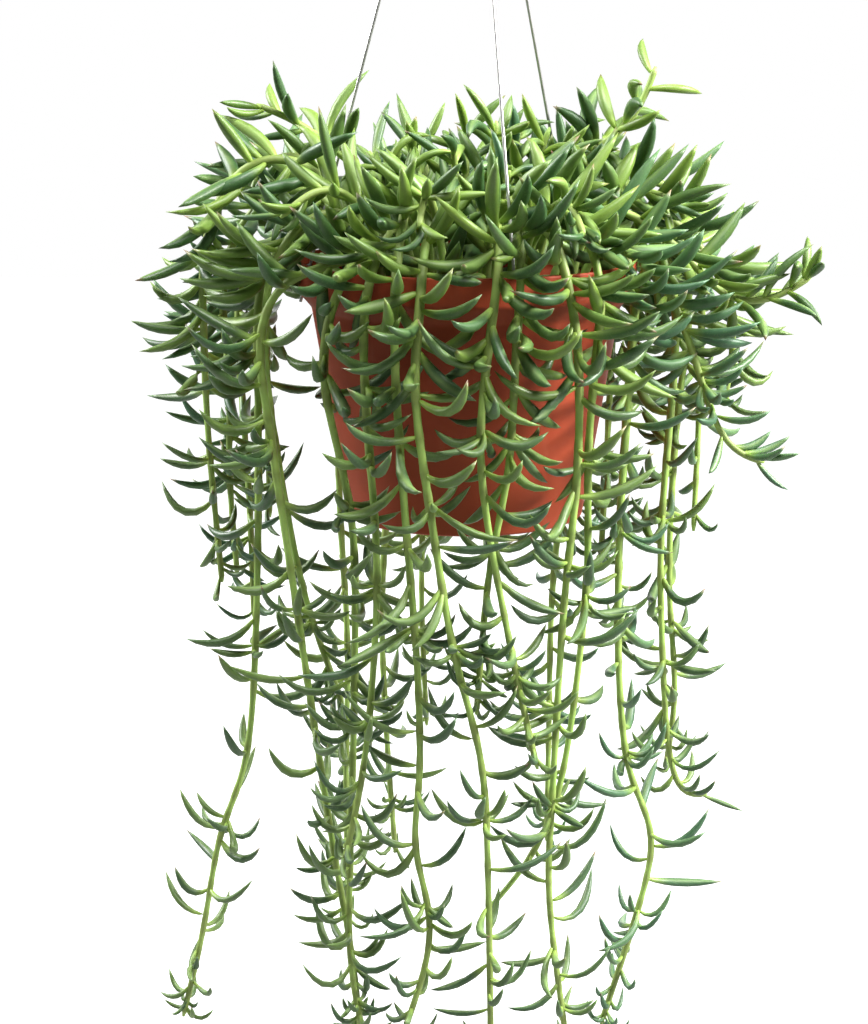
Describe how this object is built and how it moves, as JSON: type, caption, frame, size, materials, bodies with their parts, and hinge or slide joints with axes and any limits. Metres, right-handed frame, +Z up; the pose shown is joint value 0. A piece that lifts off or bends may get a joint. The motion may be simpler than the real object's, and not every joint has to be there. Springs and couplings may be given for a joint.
{
  "type": "potted string of bananas",
  "caption": "Trailing succulent with curved pointed leaves, rooted in a terracotta-coloured plastic pot that hangs from wires and a hook.",
  "frame": {"origin": "seat of the hook: the inner top of its bend, where the whole thing hangs", "axes": "+Z up, -Y towards the picture's viewer, +X to the right in the picture"},
  "size_m": [0.2987, 0.2361, 0.6533],
  "materials": {
    "pot": "satin, terracotta-coloured",
    "soil": "rough, dark and crumbly",
    "wire": "drawn wire",
    "foliage": "smooth, waxy, fleshy"
  },
  "bodies": {
    "root": {"pot": "pot", "soil": "soil", "hanger_wire_1": "wire", "hanger_wire_2": "wire", "hanger_wire_3": "wire", "ferrule": "wire", "hook": "wire", "stem_left_1": "foliage", "stem_left_2": "foliage", "stem_left_3": "foliage", "stem_left_4": "foliage", "stem_left_5": "foliage", "shoot_left_6": "foliage", "stem_front_1": "foliage", "stem_front_2": "foliage", "stem_front_3": "foliage", "stem_front_4": "foliage", "stem_front_5": "foliage", "stem_front_6": "foliage", "stem_front_7": "foliage", "stem_front_8": "foliage", "stem_right_1": "foliage", "stem_right_2": "foliage", "stem_right_3": "foliage", "shoot_right_4": "foliage", "shoot_right_5": "foliage", "shoot_right_6": "foliage", "shoot_right_7": "foliage", "stem_back_1": "foliage", "stem_back_2": "foliage", "stem_back_3": "foliage", "stem_back_4": "foliage", "stem_back_5": "foliage", "stem_back_6": "foliage", "stem_back_7": "foliage", "stem_back_8": "foliage", "stem_back_9": "foliage", "stem_back_10": "foliage", "stem_back_11": "foliage", "shoot_rim_1": "foliage", "shoot_rim_2": "foliage", "shoot_rim_3": "foliage", "shoot_rim_4": "foliage", "shoot_rim_5": "foliage", "shoot_rim_6": "foliage", "shoot_rim_7": "foliage", "shoot_rim_8": "foliage", "shoot_crown_1": "foliage", "shoot_crown_2": "foliage", "shoot_crown_3": "foliage", "shoot_crown_4": "foliage", "shoot_crown_5": "foliage", "shoot_crown_6": "foliage", "shoot_crown_7": "foliage", "shoot_crown_8": "foliage", "shoot_crown_9": "foliage", "shoot_crown_10": "foliage", "shoot_crown_11": "foliage", "shoot_crown_12": "foliage"}
  },
  "joints": []
}
